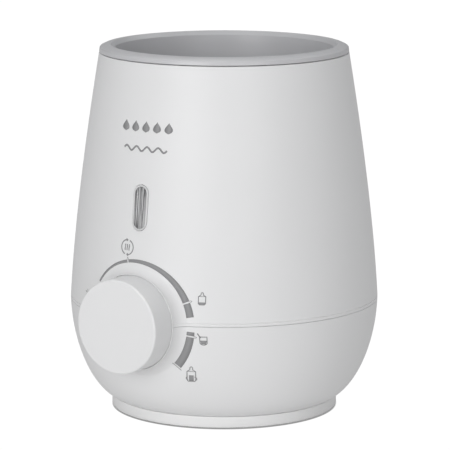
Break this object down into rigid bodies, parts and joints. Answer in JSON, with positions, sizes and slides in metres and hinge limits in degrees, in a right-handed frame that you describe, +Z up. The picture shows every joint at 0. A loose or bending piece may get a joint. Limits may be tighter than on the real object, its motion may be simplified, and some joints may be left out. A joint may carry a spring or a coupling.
{
  "type": "bottle warmer",
  "caption": "Round countertop warmer for feeding bottles: a tapered white body in two casings, an open grey well over a heating plate, and a large front knob in a flared collar.",
  "frame": {"origin": "middle of the object's overall box on the surface it stands on; the body's own axis stands 6.375 mm behind it, because the knob reaches forward", "axes": "+Z up out of the well, -Y towards the user along the knob's axis, +X to the right seen from the front"},
  "size_m": [0.1284, 0.1412, 0.152],
  "materials": {
    "casing": "fine satin moulding",
    "base": "satin moulding",
    "well": "smooth satin moulding",
    "knob": "smooth satin moulding",
    "lens": "clear, ribbed on its inner face",
    "foot_rubber": "matt",
    "silicone": "matt",
    "plate": "fine turned",
    "heater_steel": "dull, heat-tinted",
    "zinc_sheet": "zinc-plated sheet",
    "screw_steel": "zinc-plated",
    "brass": "plain",
    "board": "solder mask",
    "black_plastic": "moulded",
    "white_inner": "moulded",
    "film_resin": "dipped resin",
    "red_wire": "insulation",
    "blue_wire": "insulation",
    "black_wire": "insulation"
  },
  "bodies": {
    "warmer": {"upper_casing": "casing", "lower_casing": "casing", "base_cover": "base", "rubber_foot_1": "foot_rubber", "rubber_foot_2": "foot_rubber", "rubber_foot_3": "foot_rubber", "rubber_foot_4": "foot_rubber", "tie_screw_1": "screw_steel", "tie_screw_2": "screw_steel", "tie_screw_3": "screw_steel", "well": "well", "heating_plate": "plate", "plate_seal": "silicone", "heater_element": "heater_steel", "heater_bracket": "zinc_sheet", "bracket_screw_1": "screw_steel", "bracket_screw_2": "screw_steel", "bracket_screw_3": "screw_steel", "thermostat": "black_plastic", "thermostat_clip": "zinc_sheet", "thermal_fuse": "white_inner", "temperature_sensor": "black_plastic", "rotary_control": "black_plastic", "control_washer": "zinc_sheet", "control_nut": "brass", "control_bracket": "zinc_sheet", "control_board": "board", "control_screw_1": "screw_steel", "control_screw_2": "screw_steel", "board_screw_1": "screw_steel", "board_screw_2": "screw_steel", "indicator_lens": "lens", "light_guide": "lens", "indicator_led": "white_inner", "power_board": "board", "relay": "black_plastic", "film_capacitor": "film_resin", "smoothing_capacitor": "black_plastic", "board_fuse": "white_inner", "terminal_block": "white_inner", "heater_lead_1": "red_wire", "heater_lead_2": "blue_wire", "sensor_lead": "black_wire", "control_lead": "black_wire", "cord_gland": "foot_rubber", "cord_clamp": "white_inner", "clamp_screw_1": "screw_steel", "clamp_screw_2": "screw_steel"},
    "dial": {"knob": "knob", "knob_clip": "zinc_sheet", "control_shaft": "zinc_sheet"}
  },
  "joints": [
    {"name": "knob_turn", "type": "hinge", "parent": "warmer", "child": "dial", "pos_m": [0, -0.06363, 0.0461], "axis": [0, 1, 0], "range_deg": [0, 270]}
  ]
}
